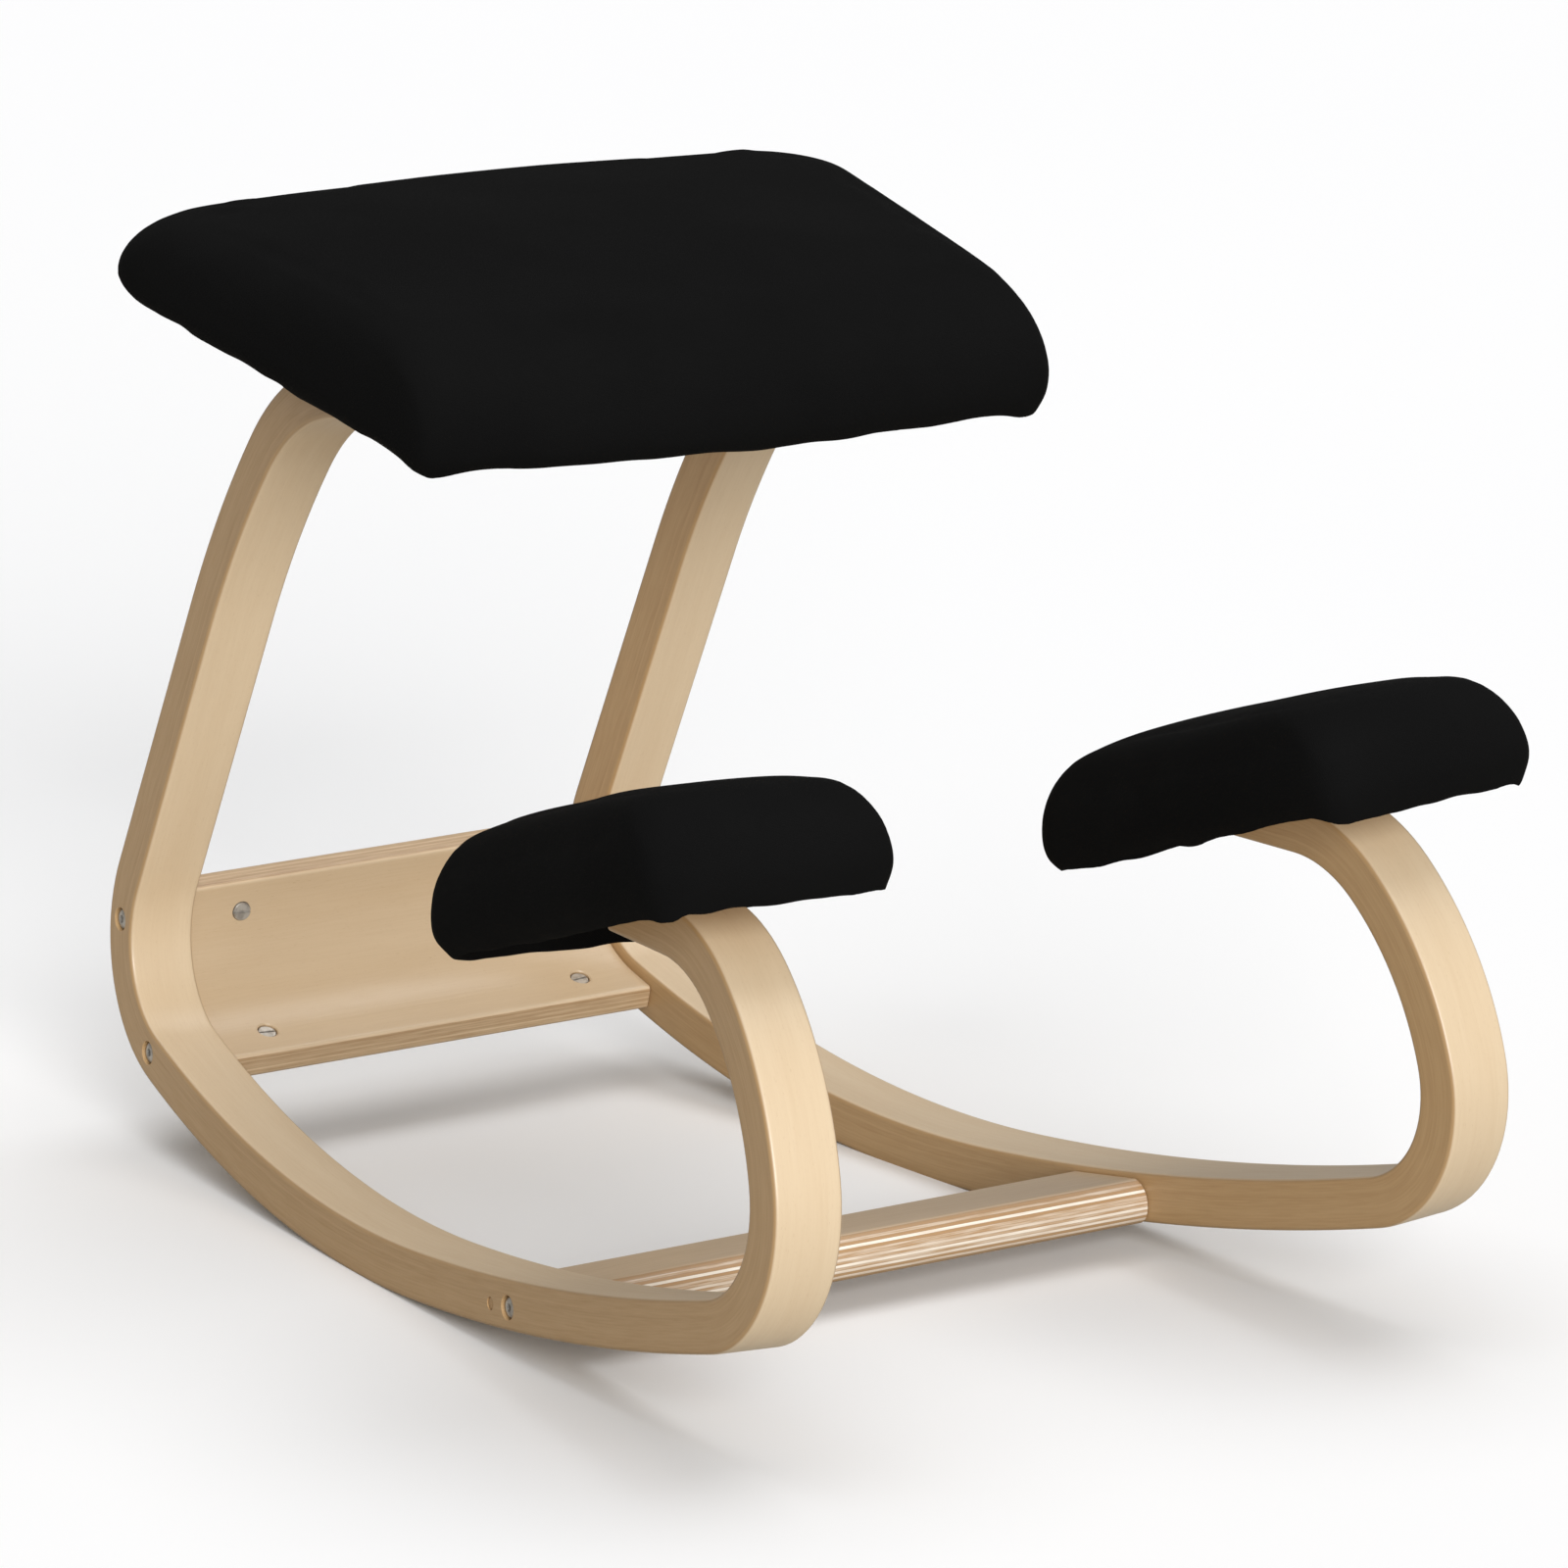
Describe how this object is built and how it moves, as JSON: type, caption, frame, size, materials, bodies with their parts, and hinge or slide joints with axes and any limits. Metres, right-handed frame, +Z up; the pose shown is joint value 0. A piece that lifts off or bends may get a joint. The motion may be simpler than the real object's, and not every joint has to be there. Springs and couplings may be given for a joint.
{
  "type": "kneeling chair",
  "caption": "Rocking kneeling chair: bent laminated runners carry a cushioned sloping seat and knee rests, joined by a bent rear panel and a front crossbar.",
  "frame": {"origin": "on the floor, at the middle of the chair's length and width", "axes": "+Z up; -Y is the front, towards the knee rests, which the sitter faces; +X is the sitter's left"},
  "size_m": [0.5022, 0.7208, 0.5116],
  "materials": {
    "birch": "clear satin lacquer on laminated birch",
    "panel": "clear satin lacquer on bent plywood",
    "crossbar": "clear satin lacquer on stacked plywood",
    "plywood": "raw plywood",
    "dowel": "raw beech",
    "fabric": "matt black woven cover over foam",
    "steel": "zinc-plated steel"
  },
  "bodies": {
    "root": {"runner_left": "birch", "panel_lower_bolt_left": "steel", "panel_lower_nut_left": "steel", "panel_upper_bolt_left": "steel", "panel_upper_nut_left": "steel", "crossbar_bolt_left": "steel", "crossbar_nut_left": "steel", "crossbar_dowel_left": "dowel", "knee_board_left": "plywood", "knee_cushion_left": "fabric", "seat_left_bolt_front": "steel", "seat_left_tee_nut_front": "steel", "knee_left_bolt_front": "steel", "knee_left_tee_nut_front": "steel", "seat_left_bolt_rear": "steel", "seat_left_tee_nut_rear": "steel", "knee_left_bolt_rear": "steel", "knee_left_tee_nut_rear": "steel", "runner_right": "birch", "panel_lower_bolt_right": "steel", "panel_lower_nut_right": "steel", "panel_upper_bolt_right": "steel", "panel_upper_nut_right": "steel", "crossbar_bolt_right": "steel", "crossbar_nut_right": "steel", "crossbar_dowel_right": "dowel", "knee_board_right": "plywood", "knee_cushion_right": "fabric", "seat_right_bolt_front": "steel", "seat_right_tee_nut_front": "steel", "knee_right_bolt_front": "steel", "knee_right_tee_nut_front": "steel", "seat_right_bolt_rear": "steel", "seat_right_tee_nut_rear": "steel", "knee_right_bolt_rear": "steel", "knee_right_tee_nut_rear": "steel", "rear_panel": "panel", "front_crossbar": "crossbar", "seat_board": "plywood", "seat_cushion": "fabric"}
  },
  "joints": []
}
